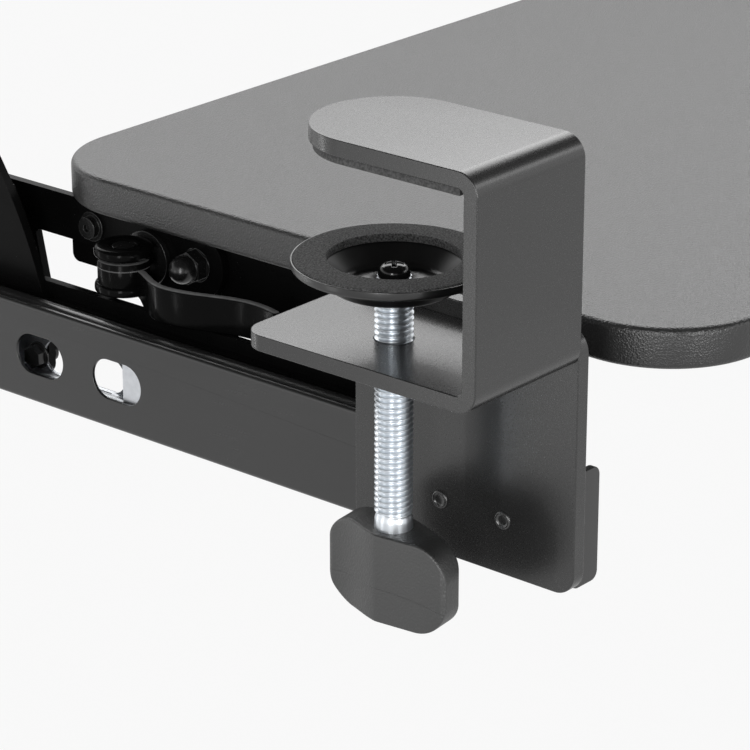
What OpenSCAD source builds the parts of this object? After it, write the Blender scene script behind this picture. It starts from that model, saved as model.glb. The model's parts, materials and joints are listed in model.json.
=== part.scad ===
// Under-desk keyboard tray on two desk clamps, with ball-bearing rails and a tilting board.
// Origin: midway between the clamps, on the desk's front edge, level with the desk's top face.
// +X is the user's right, +Y goes in under the desk, +Z is up. Millimetres.

/* [Board] */
// Width of the board
board_w = 660; // [560:10:760]
// Depth of the board, front to back
board_d = 274; // [260:2:300]
// Thickness of the board with its wrap
board_t = 13; // [12:0.5:18]
// Corner radius of the board in plan
board_r = 35; // [15:1:60]
// Rounding of the board's top and bottom edges
board_edge_r = 1.4; // [0.6:0.2:3]
// How far the board stands out in front of the desk's edge
board_front = 25; // [10:1:40]
// Depth of the board's top face below the desk's top face
board_drop = 58.9; // [56:0.1:64]

/* [Desk clamp] */
// Gap from the side of the board to the side plate's outer face
side_gap = 27; // [26.5:0.5:36]
// Width of the clamp's steel strip
clamp_w = 48.5; // [46:0.5:60]
// Thickness of the clamp's steel strip
clamp_t = 5; // [4:0.5:6]
// Outside height of the clamp
clamp_h = 70.5; // [66:0.5:90]
// Outside radius of the clamp's bends
clamp_bend_r = 7; // [6:0.5:9]
// Reach of the rounded upper jaw from the desk's edge
upper_reach = 69; // [60:1:80]
// Reach of the lower jaw from the desk's edge
lower_reach = 83; // [76:1:95]
// Corner radius of the lower jaw
lower_corner_r = 8; // [3:1:14]
// Thickness of the foam pad under the upper jaw
jaw_pad_t = 2.5; // [1.5:0.5:4]
// Inset of the foam pad from the jaw's edge
jaw_pad_inset = 1.2; // [0.5:0.1:3]

/* [Side plate] */
// Thickness of the side plate
plate_t = 5; // [4:0.5:6]
// Front edge of the side plate behind the clamp's outer face
plate_inset = 0.8; // [0:0.1:2]
// Rear edge of the side plate from the desk's edge
plate_back = 80.2; // [76:0.2:95]
// Overlap of the side plate on the edge of the clamp
plate_lap = 10.5; // [8:0.5:14]
// Corner radius of the side plate's lower corners
plate_r = 7; // [3:1:12]

/* [Clamp screw] */
// Distance of the clamp screw from the desk's edge
screw_y = 44.5; // [40:0.5:48]
// Radius of the clamp screw over its thread
screw_r = 5.8; // [5:0.1:6]
// Running clearance of the clamp screw in the lower jaw
screw_clear = 0.05; // [0.03:0.01:0.1]
// Depth of the foam ring's face below the desk's top face
cup_drop = 33; // [26:0.1:36]
// Radius of the pressure cup's rim
cup_r = 30; // [27:0.5:32]
// Sheet thickness of the pressure cup
cup_t = 1.5; // [1:0.1:2]
// Depth of the cup's bowl from the rim's top to the floor
cup_deep = 8.4; // [6:0.2:9]
// Radius of the bowl's floor
cup_floor_r = 15; // [12:0.5:17]
// Radius of the hole in the foam ring
ring_hole_r = 19.5; // [18:0.5:22]
// Thickness of the foam ring
ring_t = 2.4; // [1.8:0.2:3]
// Radius of the cup screw's pan head
cup_screw_head_r = 4.6; // [4:0.1:5.5]
// Height of the cup screw's pan head
cup_screw_head_h = 3.9; // [2.5:0.1:4.5]
// Radius of the cup screw's shank
cup_screw_r = 2.5; // [2:0.1:3]

/* [Knob] */
// Length of the knob across its two lobes
knob_l = 47; // [40:0.2:47]
// Height of the knob
knob_h = 28.5; // [24:0.5:34]
// Depth of the knob's top below the desk's top face
knob_drop = 117.9; // [112:0.1:124]
// Thickness of each lobe at its end
knob_lobe_t = 9.6; // [6.5:0.1:9.8]
// Thickness of the knob at its middle
knob_mid_t = 17; // [14:0.5:17]
// Angle the knob stands at, from the line of the side plate
knob_turn = 6.5; // [0:0.5:90]
// Collar radius at the foot of the clamp screw
collar_r = 6.2; // [6.1:0.1:7]

/* [Rail] */
// Height of the ball-bearing rail
rail_h = 35; // [33:0.5:37]
// Depth of the ball-bearing rail across its two members
rail_d = 12.7; // [12.5:0.1:14]
// Length of the rail
rail_l = 350; // [330:5:380]
// Sheet thickness of the rail members
rail_t = 1.2; // [1:0.1:1.4]
// Radius of the bearing balls
ball_r = 2.75; // [2.4:0.05:2.9]
// Running clearance between a ball and its race
ball_clear = 0.05; // [0.03:0.01:0.1]
// Number of balls in each row
ball_count = 9; // [5:1:11]
// Travel of the tray out from under the desk
travel = 220; // [180:5:225]
// Length of each slot in the outer member
slot_l = 22; // [14:1:26]
// Width of each slot in the outer member
slot_w = 14; // [8:0.5:15]

/* [Arm and tilt] */
// Thickness of the runner bracket and its foot
bracket_t = 3; // [2.5:0.1:3.5]
// Thickness of the arm
arm_t = 3; // [2.5:0.1:3.5]
// Distance from the board's side to the arm's outer face
arm_in = 9.5; // [9:0.5:14]
// Height of the arm's bar
arm_h = 15.6; // [14:0.2:18]
// Distance of the tilt pivot behind the desk's edge
pivot_y = 180; // [172:1:186]
// Distance of the tilt pivot below the board's underside
pivot_drop = 11.6; // [11:0.1:14]
// Radius of the tilt pivot bolt
pivot_r = 3; // [2.5:0.1:3.5]
// Running clearance of the pivot bolt in the tray bracket
pivot_clear = 0.05; // [0.03:0.01:0.1]
// Tilt of the board, front edge down, in degrees
tilt_max = 12; // [6:1:12]
// Distance of the cam bolt behind the desk's edge
cam_y = 201.5; // [200:0.5:204]
// Distance of the cam bolt below the board's underside
cam_drop = 13.7; // [13.5:0.1:15]
// Radius of the cam bolt
cam_bolt_r = 2.5; // [2:0.1:3]
// Distance of the stop screw behind the desk's edge
stop_y = 228.5; // [226:0.5:231]
// Distance of the stop screw below the board's underside
stop_drop = 9; // [8:0.1:10]
// Radius of the stop screw
stop_r = 2; // [1.5:0.1:2.5]
// Thickness of the tray bracket
tray_bracket_t = 2.5; // [2:0.1:3]
// Depth of the tray bracket's upright leg
tray_bracket_h = 25; // [24:0.5:28]
// Width of the tray bracket's flat leg
tray_bracket_w = 30; // [24:1:40]

/* [Cam lever] */
// Radius of the lever's head
cam_r = 10; // [9:0.5:11]
// Height of the lever's head
cam_h = 16; // [14:0.5:18]
// Thickness of each ear of the lever's head
ear_t = 3.6; // [3:0.1:4.5]
// Radius of the barrel that the lever turns on
barrel_r = 4; // [3:0.5:5]
// Running clearance of the barrel in the lever
barrel_clear = 0.08; // [0.03:0.01:0.1]
// Height of the lever's blade
blade_h = 12.6; // [10:0.2:14]
// Thickness of the lever's blade
blade_t = 3; // [2.5:0.1:4]
// Reach of the lever's blade from the barrel
blade_l = 70; // [60:1:74]

/* [Hidden] */
$fn = 64;

// Clearance between pieces of different moving bodies
gap = 0.3;
// Clearance of a fastener in its hole
hole_clear = 0.1;

// The side plate's outer face, from the middle of the tray
plate_x = board_w / 2 + side_gap;
board_top = -board_drop;
board_under = -board_drop - board_t;

clamp_top = jaw_pad_t + clamp_t;
clamp_bottom = clamp_top - clamp_h;
lower_jaw_top = clamp_bottom + clamp_t;
screw_u = -clamp_w / 2;

plate_front = -clamp_t + plate_inset;
plate_top = clamp_bottom + plate_lap;
rail_z = plate_top - 65.4;
rail_bottom = rail_z - rail_h / 2;
rail_top = rail_z + rail_h / 2;
plate_bottom = rail_bottom - 0.2;
rail_y = 3;
rail_u = plate_t;
runner_u = rail_u + rail_d;

race_r = ball_r + ball_clear;
ball_u = 6.3;
ball_z = rail_h / 2 - race_r - rail_t;
cage_t = 0.6;
cage_web_u = rail_t + 0.8;
cage_l = rail_l - travel - 4;
cage_y = rail_y + travel / 2 + 2;
cage_web_l = 72;
rivet_ys = [22.4, 46.5];
rivet_r = 2.5;
slot_ys = [188, 224, rail_y + rail_l - 63, rail_y + rail_l - 27];
window_ys = [62, 140, 214.5];
window_l = 38;
window_h = 12;

cup_top = -cup_drop;
cup_floor = cup_top - cup_deep;
rod_top = cup_floor - cup_t - gap;
neck_r = 3.6;
neck_rise = 1.7;
washer_h = 0.8;
knob_top = -knob_drop;
collar_h = 6;

foot_u = runner_u + bracket_t;
foot_in_u = foot_u + bracket_t;
runner_top = rail_top - 2.3;
runner_bottom = rail_z + 1.6;
runner_front = 40;
runner_back = 300;
runner_lug_y = 232.5;
runner_lug_bottom = rail_bottom + 4.6;
foot_top = rail_top + 2.6;
foot_front = 45;
foot_set_back = 3.3;
upright_r = 156;
upright_y = 384.5;
upright_z = rail_z - 27.7;
upright_top = board_top + 9;
runner_screw_ys = [60, 128, 176];
runner_screw_z = rail_z + 6.4;
lug_screw_y = 236;
lug_screw_z = rail_z - 5.6;
runner_screw_r = 2;

arm_u = side_gap + arm_in;
arm_top = board_under - gap;
pivot_z = board_under - pivot_drop;
eye_r = pivot_drop - gap;
cam_z = board_under - cam_drop;
stop_z = board_under - stop_drop;
arm_leg_y = 256.5;
arm_bolt_spots = [[288, board_under - 6.5], [284, rail_top + 6.4]];
arm_bolt_r = 2.5;
arm_bolt_head_r = 4.5;

flange_u = arm_u + arm_t + gap;
flange_front = 100;
flange_back = 242;
far_u = flange_u + tray_bracket_t + gap;
tray_screw_ys = [116, 171, 226];
tray_screw_r = 1.7;

washer_t = 2.4;
lever_gap = 0.3;
lever_clear = 0.7;
barrel_u = arm_u - washer_t - lever_gap - cam_r;
blade_z = foot_top + lever_clear;

// Put a piece drawn for the left side in its place on the named side
module on_side(side) {
    if (side == "left") translate([-plate_x, 0, 0]) children();
    else mirror([1, 0, 0]) translate([-plate_x, 0, 0]) children();
}

// Put a piece that isn't handed on the axis of the named side's clamp screw
module on_screw(side) {
    sign = side == "left" ? -1 : 1;
    translate([sign * (plate_x - screw_u), screw_y, 0]) children();
}

// A plate in the YZ plane from u to u + t, from an outline drawn in y and z
module upright_plate(u, t) {
    translate([u, 0, 0]) rotate([90, 0, 90]) linear_extrude(t) children();
}

// A strip along Y from y0, of length l, from a section drawn in u and z
module along_y(y0, l) {
    translate([0, y0 + l, 0]) rotate([90, 0, 0]) linear_extrude(l) children();
}

// A round bar along X from u to u + l
module cross_bar(u, l, r, y, z) {
    translate([u, y, z]) rotate([0, 90, 0]) cylinder(h = l, r = r);
}

// A hexagonal prism along X, by its width across the flats
module cross_hex(u, l, flats, y, z) {
    translate([u, y, z]) rotate([0, 90, 0]) cylinder(h = l, r = flats / sqrt(3), $fn = 6);
}

// A rectangle from one corner to another with four round corners
module round_rect(x0, y0, x1, y1, r) {
    translate([x0 + r, y0]) square([x1 - x0 - 2 * r, y1 - y0]);
    translate([x0, y0 + r]) square([x1 - x0, y1 - y0 - 2 * r]);
    for (x = [x0 + r, x1 - r], y = [y0 + r, y1 - r]) translate([x, y]) circle(r);
}

// A slot with round ends, of overall length l and width w, along the first axis
module slot_shape(l, w) {
    square([l - w, w], center = true);
    for (x = [-1, 1] * (l - w) / 2) translate([x, 0]) circle(w / 2);
}

// A sector of a ring from angle a0 to a1, less than half a turn
module ring_sector(r, t, a0, a1) {
    far = 3 * (r + t);
    mid = (a0 + a1) / 2;
    intersection() {
        difference() {
            circle(r + t);
            circle(r);
        }
        polygon([[0, 0], far * [cos(a0), sin(a0)], far * [cos(mid), sin(mid)], far * [cos(a1), sin(a1)]]);
    }
}

// A curved slot about the origin at radius r, from angle a0 to a1, with round ends
module arc_slot(r, w, a0, a1) {
    ring_sector(r - w / 2, w, a0, a1);
    for (a = [a0, a1]) translate(r * [cos(a), sin(a)]) circle(w / 2);
}

// The board's edge in section, from the axis of its corner outwards
module board_edge() {
    translate([0, board_edge_r]) square([board_r, board_t - 2 * board_edge_r]);
    square([board_r - board_edge_r, board_t]);
    for (z = [board_edge_r, board_t - board_edge_r])
        translate([board_r - board_edge_r, z]) circle(board_edge_r);
}

// The wrapped board with round corners and eased edges
module tray_board() {
    long = board_w - 2 * board_r;
    deep = board_d - 2 * board_r;
    color([0.16, 0.16, 0.17]) difference() {
        translate([0, board_d / 2 - board_front, board_under]) {
            translate([-long / 2, -deep / 2, 0]) cube([long, deep, board_t]);
            for (a = [0, 180]) rotate([0, 0, a]) {
                translate([long / 2, deep / 2, 0]) rotate([90, 0, 0]) linear_extrude(deep) board_edge();
                translate([long / 2, deep / 2, 0]) rotate([90, 0, -90]) mirror([1, 0, 0])
                    linear_extrude(long) board_edge();
            }
            for (sx = [-1, 1], sy = [-1, 1]) translate([sx * long / 2, sy * deep / 2, 0])
                rotate([0, 0, (sx > 0 ? 0 : 90) + (sy > 0 ? 0 : 1) * (sx > 0 ? -90 : 90)])
                rotate_extrude(angle = 90) board_edge();
        }
        for (side = ["left", "right"], y = tray_screw_ys)
            on_side(side) translate([flange_u + tray_bracket_w * 0.6, y, board_under - 1])
                cylinder(h = board_t - 2, r = tray_screw_r);
    }
}

// The wood screws that hold both tray brackets up into the board
module tray_screws() {
    color([0.1, 0.1, 0.1]) for (side = ["left", "right"], y = tray_screw_ys)
        on_side(side) translate([flange_u + tray_bracket_w * 0.6, y, board_under - tray_bracket_t]) {
            cylinder(h = tray_bracket_t + board_t - 4, r = tray_screw_r - 0.02);
            translate([0, 0, -2.2]) cylinder(h = 2.2, r1 = 2.6, r2 = 4);
        }
}

// The clamp's section: an upper jaw, the wall and a lower jaw, with two bends
module clamp_section() {
    inner_r = clamp_bend_r - clamp_t;
    bend_y = clamp_bend_r - clamp_t;
    translate([-clamp_t, clamp_bottom + clamp_bend_r]) square([clamp_t, clamp_h - 2 * clamp_bend_r]);
    translate([bend_y, lower_jaw_top - clamp_t]) square([lower_reach - bend_y, clamp_t]);
    translate([bend_y, jaw_pad_t]) square([upper_reach - bend_y, clamp_t]);
    translate([bend_y, clamp_top - clamp_bend_r]) ring_sector(inner_r, clamp_t, 90, 180);
    translate([bend_y, clamp_bottom + clamp_bend_r]) ring_sector(inner_r, clamp_t, 180, 270);
}

// A jaw's plan: square at the wall and rounded by r at its free corners, d smaller all round
module jaw_plan(reach, r, d) {
    half = clamp_w / 2 - d;
    translate([screw_u - half, -clamp_t]) square([2 * half, reach - d - r + clamp_t]);
    translate([screw_u - half + r, 0]) square([2 * (half - r) + 0.002, reach - d]);
    for (s = [-1, 1]) translate([screw_u + s * (half - r), reach - d - r]) circle(r);
}

// The desk clamp: one strip of steel bent to a C
module clamp(side) {
    color([0.2, 0.2, 0.21]) on_side(side) difference() {
        intersection() {
            translate([-clamp_w, 0, 0]) rotate([90, 0, 90]) linear_extrude(clamp_w) clamp_section();
            union() {
                translate([0, 0, -cup_drop]) linear_extrude(2 * cup_drop)
                    jaw_plan(upper_reach, clamp_w / 2 - 0.001, 0);
                translate([0, 0, clamp_bottom - 1]) linear_extrude(-clamp_bottom - cup_drop + 1)
                    jaw_plan(lower_reach, lower_corner_r, 0);
            }
        }
        translate([screw_u, screw_y, clamp_bottom - 1]) cylinder(h = clamp_t + 2, r = screw_r + screw_clear);
    }
}

// The foam pad under the upper jaw
module jaw_pad(side) {
    color([0.13, 0.13, 0.13]) on_side(side) intersection() {
        linear_extrude(jaw_pad_t) jaw_plan(upper_reach, clamp_w / 2 - jaw_pad_inset - 0.001, jaw_pad_inset);
        translate([-clamp_w, clamp_bend_r - clamp_t + 0.2, 0]) cube([clamp_w, upper_reach, jaw_pad_t]);
    }
}

// The plate welded to the inner edge of the clamp, which carries the rail
module side_plate(side) {
    color([0.2, 0.2, 0.21]) on_side(side) difference() {
        upright_plate(0, plate_t) round_rect(plate_front, plate_bottom, plate_back, plate_top, plate_r);
        for (y = rivet_ys) cross_bar(-1, plate_t + 2, rivet_r, y, rail_z);
    }
}

// The rivets that join the outer member to the side plate, closed flush on the plate
module rail_rivets(side) {
    color([0.25, 0.25, 0.26]) on_side(side) for (y = rivet_ys) {
        cross_bar(0.2, plate_t + rail_t - 0.2, rivet_r, y, rail_z);
        cross_bar(rail_u + rail_t, 0.3, rivet_r + 1.2, y, rail_z);
    }
}

// Points of an arc about c of radius r, from angle a0 to a1, every 10 degrees or so
function arc_points(c, r, a0, a1) = let (n = ceil(abs(a1 - a0) / 10))
    [for (i = [0 : n]) let (a = a0 + (a1 - a0) * i / n) c + r * [cos(a), sin(a)]];

// A section with its lower half a mirror image of the upper one, given from the middle line up
module mirrored_section(upper) {
    n = len(upper);
    polygon(concat(upper, [for (i = [n - 1 : -1 : 0]) [upper[i][0], -upper[i][1]]]));
}

// The outer member's upper half: web, shoulder, groove and race
lip_angle = 25;
groove_angle = 143;
outer_shoulder = 1.8;
outer_upper = concat(
    arc_points([outer_shoulder, rail_h / 2 - outer_shoulder], outer_shoulder, 180, 90),
    [[outer_shoulder + 0.5, rail_h / 2 - 0.15]],
    arc_points([ball_u, ball_z], race_r + rail_t, groove_angle, lip_angle),
    arc_points([ball_u, ball_z], race_r, lip_angle, 150),
    [[outer_shoulder + 0.9, ball_z + 1.5]],
    arc_points([outer_shoulder, rail_h / 2 - outer_shoulder], outer_shoulder - rail_t, 90, 180));

// The inner member's upper half: web, shelf and race
heel_angle = 215;
shelf_angle = 312;
inner_shelf = ball_z - (race_r + rail_t) * sin(lip_angle);
inner_upper = concat(
    arc_points([rail_d - rail_t, inner_shelf - rail_t], rail_t, 0, 90),
    arc_points([ball_u, ball_z], race_r, 360 - lip_angle, heel_angle),
    arc_points([ball_u, ball_z], race_r + rail_t, heel_angle, shelf_angle),
    [[rail_d - rail_t, ball_z + (race_r + rail_t) * sin(shelf_angle)]]);

// The outer member, riveted to the side plate
module outer_rail(side) {
    color([0.17, 0.17, 0.18]) on_side(side) difference() {
        along_y(rail_y, rail_l) translate([rail_u, rail_z]) mirrored_section(outer_upper);
        for (y = slot_ys) translate([rail_u - 1, y, rail_z]) rotate([90, 0, 90])
            linear_extrude(rail_t + 2) slot_shape(slot_l, slot_w);
        for (y = rivet_ys) cross_bar(rail_u - 1, rail_t + 2, rivet_r, y, rail_z);
    }
}

// The inner member, which runs out with the tray
module inner_rail(side) {
    color([0.7, 0.73, 0.76]) on_side(side) difference() {
        along_y(rail_y, rail_l) translate([rail_u, rail_z]) mirrored_section(inner_upper);
        for (y = window_ys) translate([runner_u - rail_t - 1, y, rail_z - 4.6]) rotate([90, 0, 90])
            linear_extrude(rail_t + 2) slot_shape(window_l, window_h);
        for (y = runner_screw_ys)
            cross_bar(runner_u - rail_t - 1, rail_t + 2, runner_screw_r + hole_clear, y, runner_screw_z);
        cross_bar(runner_u - rail_t - 1, rail_t + 2, runner_screw_r + hole_clear, lug_screw_y, lug_screw_z);
    }
}

// Places of the balls along one rail
ball_pitch = (cage_l - 10) / (ball_count - 1);
function ball_ys() = [for (i = [0 : ball_count - 1]) cage_y + 5 + i * ball_pitch];

// The sheet cage that keeps the balls apart and travels at half the tray's speed
module ball_cage(side) {
    color([0.72, 0.75, 0.78]) on_side(side) difference() {
        union() {
            along_y(cage_y, cage_web_l) translate([rail_u + cage_web_u, rail_z - ball_z]) square([cage_t, 2 * ball_z]);
            along_y(cage_y, cage_l) translate([rail_u, rail_z]) for (m = [0, 1]) mirror([0, m]) {
                translate([cage_web_u, ball_z - 2]) square([cage_t, 2 + cage_t / 2]);
                translate([cage_web_u, ball_z - cage_t / 2]) square([ball_u - cage_web_u + race_r + 0.6, cage_t]);
            }
        }
        for (y = ball_ys(), s = [-1, 1]) translate([rail_u + ball_u, y, rail_z + s * ball_z - 1])
            cylinder(h = 2, r = ball_r + hole_clear);
    }
}

// The bearing balls in their two rows
module balls(side) {
    color([0.8, 0.8, 0.82]) on_side(side) for (y = ball_ys(), s = [-1, 1])
        translate([rail_u + ball_u, y, rail_z + s * ball_z]) sphere(ball_r);
}

// The plastic cap on the front end of the inner member, which stops against the outer one
module rail_cap(side) {
    color([0.12, 0.12, 0.12]) on_side(side) {
        along_y(0, rail_y - gap) round_rect(rail_u + 0.2, rail_bottom - 1, runner_u, rail_top + 1, 3);
        along_y(rail_y - gap, gap) translate([rail_u + 8.9, rail_z - 9]) square([rail_d - 8.9, 18]);
    }
}

// The part of the runner bracket and its foot that rises behind the board
module upright_outline(low, high) {
    intersection() {
        translate([upright_y, upright_z]) circle(upright_r, $fn = 360);
        round_rect(runner_lug_y - 20, low - 12, runner_back, high, 10);
        translate([runner_lug_y - 20, low]) square([120, high - low]);
    }
}

// The bracket on the inner member: a narrow runner with an upright at its back
module runner_bracket(side) {
    color([0.15, 0.15, 0.16]) on_side(side) difference() {
        upright_plate(runner_u, bracket_t) {
            round_rect(runner_front, runner_bottom, runner_lug_y + 20, runner_top, 2);
            round_rect(runner_lug_y, runner_lug_bottom, runner_back, runner_top, 4);
            upright_outline(runner_top - 3, upright_top);
        }
        runner_holes(runner_u, bracket_t);
        arm_bolt_holes(runner_u, bracket_t);
    }
}

// The foot of the arm, bolted along the runner bracket
module arm_foot(side) {
    color([0.13, 0.13, 0.14]) on_side(side) difference() {
        upright_plate(foot_u, bracket_t) {
            round_rect(foot_front, runner_bottom, runner_back - 30, foot_top, 2);
            translate([foot_set_back, 0]) upright_outline(runner_bottom, board_under + 4);
        }
        runner_holes(foot_u, bracket_t);
        arm_bolt_holes(foot_u, bracket_t);
    }
}

// Holes for the screws that join the inner member, the bracket and the foot
module runner_holes(u, t) {
    for (y = runner_screw_ys) cross_bar(u - 1, t + 2, runner_screw_r + hole_clear, y, runner_screw_z);
    cross_bar(u - 1, t + 2, runner_screw_r + hole_clear, lug_screw_y, lug_screw_z);
}

// Holes for the two bolts that carry the arm
module arm_bolt_holes(u, t) {
    for (p = arm_bolt_spots) cross_bar(u - 1, t + 2, arm_bolt_r + hole_clear, p[0], p[1]);
}

// The screws and flanged nuts that fasten the bracket to the inner member
module runner_screws(side) {
    color([0.08, 0.08, 0.08]) on_side(side) {
        for (y = runner_screw_ys) {
            cross_bar(runner_u - rail_t, rail_t + 2 * bracket_t, runner_screw_r, y, runner_screw_z);
            cross_bar(runner_u - rail_t - 1.8, 1.8, 3.6, y, runner_screw_z);
            cross_hex(foot_in_u, 2.4, 7, y, runner_screw_z);
        }
        cross_bar(runner_u - rail_t, rail_t + bracket_t, runner_screw_r, lug_screw_y, lug_screw_z);
        cross_bar(runner_u - rail_t - 0.8, 0.8, 4.7, lug_screw_y, lug_screw_z);
        cross_hex(runner_u - rail_t - 4, 3.2, 7, lug_screw_y, lug_screw_z);
        cross_bar(foot_u, 1.6, 3.6, lug_screw_y, lug_screw_z);
    }
}

// The arm's outline: a bar under the board, a pivot eye at the front and a leg at the back
module arm_outline() {
    bar_bottom = arm_top - arm_h;
    leg_bottom = rail_top - 8;
    difference() {
        union() {
            translate([pivot_y, pivot_z]) circle(eye_r);
            translate([cam_y, cam_z]) circle(cam_r);
            translate([pivot_y, arm_top - arm_h]) square([runner_back - pivot_y - 10, arm_h]);
            translate([pivot_y, pivot_z - eye_r]) square([cam_y - pivot_y, eye_r]);
            round_rect(arm_leg_y - 8, leg_bottom, runner_back, arm_top, 4);
        }
        polygon([[arm_leg_y - 40, leg_bottom - 1], [arm_leg_y - 4.3, leg_bottom - 1],
            [arm_leg_y, bar_bottom - 1.5], [arm_leg_y - 1.5, bar_bottom], [arm_leg_y - 40, bar_bottom]]);
    }
}

// The arm that carries the board's pivot
module arm(side) {
    color([0.12, 0.12, 0.13]) on_side(side) difference() {
        upright_plate(arm_u, arm_t) arm_outline();
        cross_bar(arm_u - 1, arm_t + 2, pivot_r + hole_clear, pivot_y, pivot_z);
        cross_bar(arm_u - 1, arm_t + 2, cam_bolt_r + hole_clear, cam_y, cam_z);
        cross_bar(arm_u - 1, arm_t + 2, stop_r + hole_clear, stop_y, stop_z);
        arm_bolt_holes(arm_u, arm_t);
    }
}

// The tubes that hold the arm off its foot
module arm_spacers(side) {
    color([0.2, 0.2, 0.2]) on_side(side) difference() {
        for (p = arm_bolt_spots) cross_bar(foot_in_u, arm_u - foot_in_u, arm_bolt_head_r + 0.5, p[0], p[1]);
        arm_bolt_holes(foot_in_u, arm_u - foot_in_u);
    }
}

// The bolts and nuts through bracket, foot, spacers and arm
module arm_bolts(side) {
    color([0.1, 0.1, 0.1]) on_side(side) for (p = arm_bolt_spots) {
        cross_bar(runner_u, arm_u + arm_t - runner_u, arm_bolt_r, p[0], p[1]);
        cross_bar(runner_u - 2.8, 2.8, arm_bolt_head_r, p[0], p[1]);
        cross_hex(arm_u + arm_t, 4, 8, p[0], p[1]);
    }
}

// Angle of a point about the tilt pivot, and its distance from it
function pivot_angle(y, z) = atan2(z - pivot_z, y - pivot_y);
function pivot_reach(y, z) = norm([y - pivot_y, z - pivot_z]);

// The angle bracket under the board, with two curved slots about the pivot
module tray_bracket(side) {
    bend = 2 * tray_bracket_t;
    cam_a = pivot_angle(cam_y, cam_z);
    stop_a = pivot_angle(stop_y, stop_z);
    color([0.1, 0.1, 0.11]) on_side(side) {
        difference() {
            upright_plate(flange_u, tray_bracket_t) {
                round_rect(flange_front, board_under - tray_bracket_h, flange_back, board_under - bend, 3);
                translate([flange_front, board_under - bend - 4]) square([flange_back - flange_front, 4]);
            }
            cross_bar(flange_u - 1, tray_bracket_t + 2, pivot_r + pivot_clear, pivot_y, pivot_z);
            translate([flange_u - 1, pivot_y, pivot_z]) rotate([90, 0, 90]) linear_extrude(tray_bracket_t + 2) {
                arc_slot(pivot_reach(cam_y, cam_z), 2 * (cam_bolt_r + gap), cam_a - tilt_max - 1, cam_a);
                arc_slot(pivot_reach(stop_y, stop_z), 2 * (stop_r + gap), stop_a - tilt_max - 1, stop_a);
            }
        }
        along_y(flange_front, flange_back - flange_front) translate([flange_u + bend, board_under - bend])
            ring_sector(bend - tray_bracket_t, tray_bracket_t, 90, 180);
        difference() {
            translate([flange_u + bend, flange_front, board_under - tray_bracket_t])
                cube([tray_bracket_w - bend, flange_back - flange_front, tray_bracket_t]);
            for (y = tray_screw_ys)
                translate([flange_u + tray_bracket_w * 0.6, y, board_under - tray_bracket_t - 1])
                    cylinder(h = tray_bracket_t + 2, r = tray_screw_r + hole_clear);
        }
    }
}

// The bolt that the board tilts on, with its head on the far side of the bracket
module pivot_bolt(side) {
    color([0.12, 0.12, 0.12]) on_side(side) {
        cross_bar(arm_u - 5, far_u - arm_u + 5, pivot_r, pivot_y, pivot_z);
        cross_bar(far_u, 3.4, pivot_r + 2.5, pivot_y, pivot_z);
    }
}

// The domed nut on the pivot bolt
module cap_nut(side) {
    nut_h = 4.5;
    dome_r = 4.6;
    color([0.13, 0.13, 0.14]) on_side(side) difference() {
        union() {
            cross_bar(arm_u - 0.8, 0.8, 5.9, pivot_y, pivot_z);
            cross_hex(arm_u - 0.8 - nut_h, nut_h, 10, pivot_y, pivot_z);
            cross_bar(arm_u - 0.8 - nut_h - 2, 2, dome_r, pivot_y, pivot_z);
            translate([arm_u - 2.8 - nut_h, pivot_y, pivot_z]) sphere(dome_r);
        }
        cross_bar(arm_u - 5.1, 6, pivot_r + 0.02, pivot_y, pivot_z);
    }
}

// The screw that runs in the bracket's second slot and ends the tilt
module stop_screw(side) {
    head_h = 2.4;
    color([0.2, 0.2, 0.2]) on_side(side) difference() {
        union() {
            cross_bar(arm_u, far_u - arm_u, stop_r, stop_y, stop_z);
            cross_bar(arm_u - 0.8, 0.8, 5.2, stop_y, stop_z);
            cross_bar(arm_u - 0.8 - head_h, head_h, 3.8, stop_y, stop_z);
            cross_hex(far_u, 3.2, 7, stop_y, stop_z);
        }
        cross_hex(arm_u - 1.2 - head_h, 1.8, 2.5, stop_y, stop_z);
    }
}

// The plastic saddle between the lever's cam and the arm
module cam_washer(side) {
    color([0.09, 0.09, 0.09]) on_side(side) difference() {
        cross_bar(arm_u - washer_t, washer_t, cam_r - 0.5, cam_y, cam_z);
        cross_bar(arm_u - washer_t - 1, washer_t + 2, cam_bolt_r + hole_clear, cam_y, cam_z);
    }
}

// The bolt through the slot, with the upright barrel that the lever turns on
module cam_bolt(side) {
    color([0.25, 0.25, 0.26]) on_side(side) {
        cross_bar(barrel_u, far_u - barrel_u, cam_bolt_r, cam_y, cam_z);
        cross_bar(far_u, 3, cam_bolt_r + 3, cam_y, cam_z);
        translate([barrel_u, cam_y, cam_z - cam_h / 2 + 0.5]) cylinder(h = cam_h - 1, r = barrel_r);
        translate([barrel_u, cam_y, cam_z]) rotate([0, 90, 0]) cylinder(h = barrel_r + 2, r = barrel_r - 0.6);
    }
}

// The line that the blade follows in plan, from the head towards the front
blade_bulge = 7.5;
function blade_point(s) = [
    barrel_u - cam_r + blade_t / 2 + 1.5 + blade_bulge * pow(sin(90 * min(1, max(0, s - 0.25) / 0.55)), 2)
        - 3.5 * pow(max(0, s - 0.82) / 0.18, 2),
    cam_y - s * blade_l];
blade_steps = 28;
function blade_side(d) = [for (i = [0 : blade_steps])
    let (s = i / blade_steps, a = blade_point(max(0, s - 0.01)), b = blade_point(min(1, s + 0.01)),
        n = [b[1] - a[1], a[0] - b[0]] / norm(b - a))
    blade_point(s) + d * n];

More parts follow.
